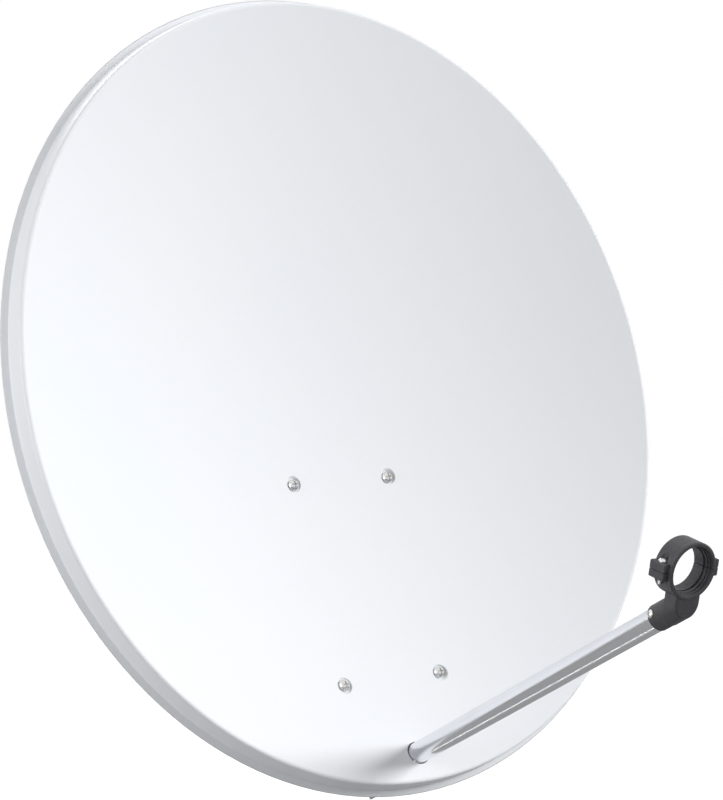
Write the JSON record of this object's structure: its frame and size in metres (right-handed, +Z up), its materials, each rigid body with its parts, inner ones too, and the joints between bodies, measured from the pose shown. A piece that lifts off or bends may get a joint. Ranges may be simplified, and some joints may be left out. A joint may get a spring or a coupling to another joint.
{
  "type": "satellite dish",
  "caption": "Offset satellite dish: pressed oval reflector with a rolled rim, straight round feed arm ending in a split clamp ring, and a tilting bracket with a mast clamp behind it.",
  "frame": {"origin": "on the mast's axis, halfway up the mast clamp", "axes": "+Z up the mast, -Y the way the dish looks, +X to the right for someone who faces the dish's hollow side"},
  "size_m": [0.7789, 0.7226, 0.8231],
  "materials": {
    "reflector": "satin light grey powder coat",
    "galvanised": "galvanised sheet steel",
    "zinc": "bright zinc plate",
    "arm": "bright plated tube",
    "black_plastic": "fine moulded grain"
  },
  "bodies": {
    "mast_mount": {"mast_bracket": "galvanised", "mast_saddle": "galvanised", "pivot_bolt": "zinc", "pivot_washers": "zinc", "pivot_nut": "zinc", "lock_bolts": "zinc", "lock_washers": "zinc", "lock_nuts": "zinc", "mast_bolts": "zinc"},
    "dish": {"reflector": "reflector", "reflector_screws": "zinc", "reflector_washers": "zinc", "reflector_nuts": "zinc", "back_plate": "galvanised", "tilt_bracket": "galvanised", "bracket_rivets": "zinc", "arm_bracket": "galvanised", "arm_bracket_rivets": "zinc", "feed_arm": "arm", "arm_end_plug": "black_plastic", "arm_bolts": "zinc", "arm_washers": "zinc", "arm_nuts": "zinc", "lnb_holder": "black_plastic", "holder_screw": "zinc", "clamp_nuts": "zinc"},
    "lnb_clamp_top": {"lnb_cap": "black_plastic", "clamp_screws": "zinc"},
    "mast_clamp_jaw": {"mast_jaw": "galvanised", "jaw_washers": "zinc", "jaw_nuts": "zinc"}
  },
  "joints": [
    {"name": "elevation", "type": "hinge", "parent": "mast_mount", "child": "dish", "pos_m": [0, -0.092, 0.02], "axis": [-1, 0, 0], "range_deg": [-20, 20]},
    {"name": "jaw_slide", "type": "slide", "parent": "mast_mount", "child": "mast_clamp_jaw", "axis": [0, 1, 0], "range_m": [-0.016, 0.016]},
    {"name": "lnb_cap_lift", "type": "slide", "parent": "dish", "child": "lnb_clamp_top", "axis": [0, -0.1908, 0.9816], "range_m": [0, 0.008]}
  ]
}
